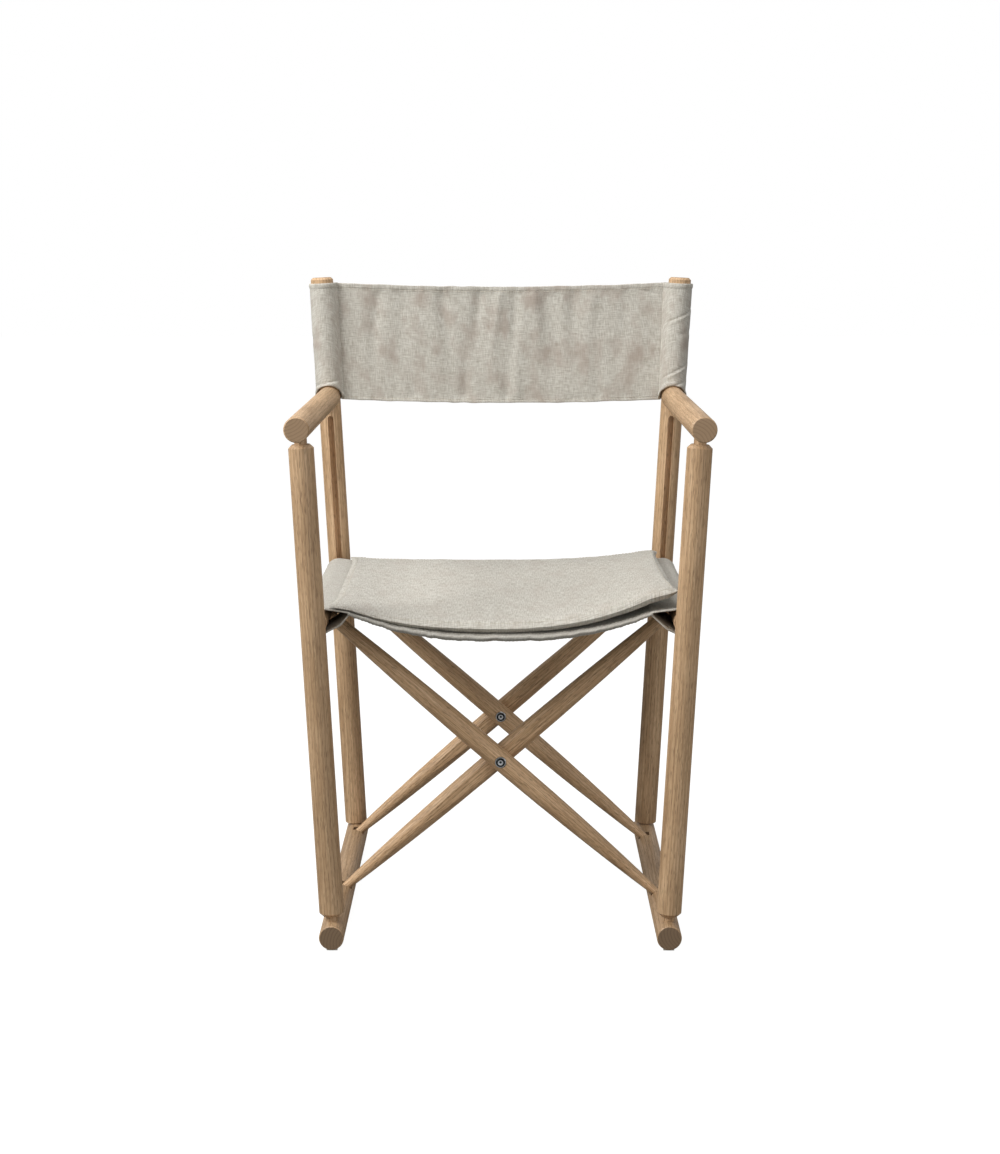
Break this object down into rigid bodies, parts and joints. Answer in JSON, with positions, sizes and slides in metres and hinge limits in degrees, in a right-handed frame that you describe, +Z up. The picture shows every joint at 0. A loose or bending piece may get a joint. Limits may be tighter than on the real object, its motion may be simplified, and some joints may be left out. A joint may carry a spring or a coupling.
{
  "type": "folding armchair",
  "caption": "Folding armchair of round oak dowels on floor runners, with crossed tapered legs, a canvas sling seat with a loose pad and a canvas back.",
  "frame": {"origin": "on the floor under the middle of the chair", "axes": "+Z up, -Y towards the front of the chair, +X towards the right-hand armrest seen from the front"},
  "size_m": [0.5492, 0.499, 0.8466],
  "materials": {
    "oak": "oiled",
    "oak_legs": "oiled",
    "linen": "matte",
    "steel": "zinc plated",
    "nylon": "satin"
  },
  "bodies": {
    "left_frame": {"left_front_post": "oak", "left_back_post": "oak", "left_armrest": "oak", "left_runner": "oak", "left_glide_strip": "nylon", "left_glide_screws": "steel", "left_foot_pins": "steel", "left_back_sleeve": "linen", "back_canvas": "linen"},
    "aft_legs": {"front_leg_aft": "oak_legs", "rear_leg_aft": "oak_legs"},
    "fore_legs": {"front_leg_fore": "oak_legs", "rear_leg_fore": "oak_legs", "front_pivot_bolt": "steel", "front_cup_washers": "steel", "front_sleeve_nut": "steel", "front_leg_spacer": "nylon", "rear_pivot_bolt": "steel", "rear_cup_washers": "steel", "rear_sleeve_nut": "steel", "rear_leg_spacer": "nylon"},
    "right_frame": {"right_front_post": "oak", "right_back_post": "oak", "right_armrest": "oak", "right_runner": "oak", "right_glide_strip": "nylon", "right_glide_screws": "steel", "right_foot_pins": "steel", "right_back_sleeve": "linen"},
    "left_rail": {"left_seat_rail": "oak", "left_rail_pins": "steel", "left_seat_sleeve": "linen", "seat_canvas": "linen", "seat_pad": "linen"},
    "right_rail": {"right_seat_rail": "oak", "right_rail_pins": "steel", "right_seat_sleeve": "linen"}
  },
  "joints": [
    {"name": "fold", "type": "hinge", "parent": "left_frame", "child": "aft_legs", "pos_m": [-0.21344, 0, 0.02818], "axis": [0, -1, 0], "range_deg": [0, 38], "deforming": ["seat_canvas", "seat_pad", "back_canvas"]},
    {"name": "leg_pivot", "type": "hinge", "parent": "aft_legs", "child": "fore_legs", "pos_m": [0, 0, 0.21516], "axis": [0, -1, 0], "range_deg": [-71.06, 0]},
    {"name": "right_foot_hinge", "type": "hinge", "parent": "fore_legs", "child": "right_frame", "pos_m": [0.21344, 0, 0.02818], "axis": [0, -1, 0], "range_deg": [0, 38]},
    {"name": "left_rail_hinge", "type": "hinge", "parent": "fore_legs", "child": "left_rail", "pos_m": [-0.23671, 0, 0.42252], "axis": [0, -1, 0], "range_deg": [0, 33.06]},
    {"name": "right_rail_hinge", "type": "hinge", "parent": "aft_legs", "child": "right_rail", "pos_m": [0.23671, 0, 0.42252], "axis": [0, -1, 0], "range_deg": [-33.06, 0]}
  ],
  "couplings": [
    {"joint": "leg_pivot", "follows": "fold", "ratio": -1.87},
    {"joint": "right_foot_hinge", "follows": "fold", "ratio": 1},
    {"joint": "left_rail_hinge", "follows": "fold", "ratio": 0.87},
    {"joint": "right_rail_hinge", "follows": "fold", "ratio": -0.87}
  ]
}
